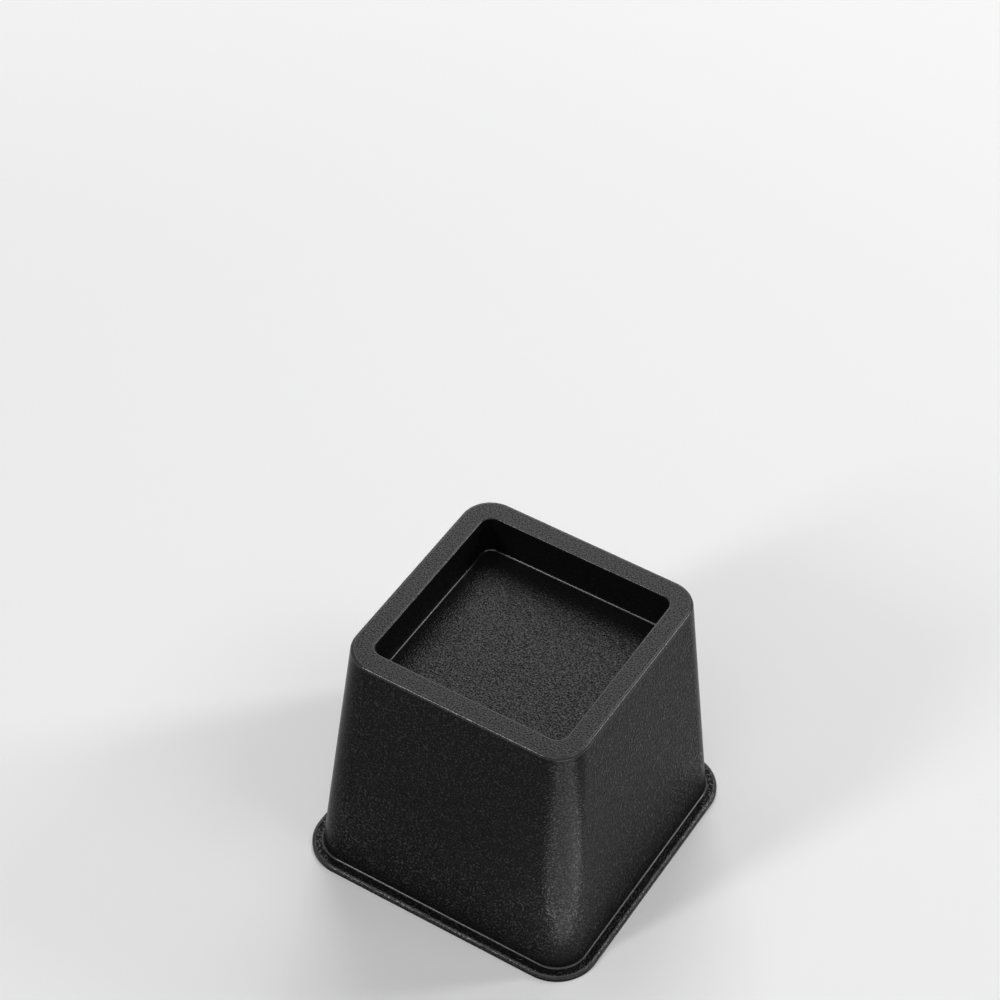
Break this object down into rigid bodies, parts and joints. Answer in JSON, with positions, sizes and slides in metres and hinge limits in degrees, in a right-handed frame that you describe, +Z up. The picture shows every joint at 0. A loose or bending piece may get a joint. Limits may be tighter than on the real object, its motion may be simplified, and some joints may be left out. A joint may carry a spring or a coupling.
{
  "type": "bed riser",
  "caption": "Square tapered bed riser with a recess in its top for a furniture leg, a foot flange and a hollow ribbed underside.",
  "frame": {"origin": "centre of the base, on the floor", "axes": "+Z up, out of the recess; X and Y square to the side walls"},
  "size_m": [0.1008, 0.1008, 0.09],
  "materials": {
    "body": "black, satin, with a fine moulded grain"
  },
  "bodies": {
    "root": {"riser": "body"}
  },
  "joints": []
}
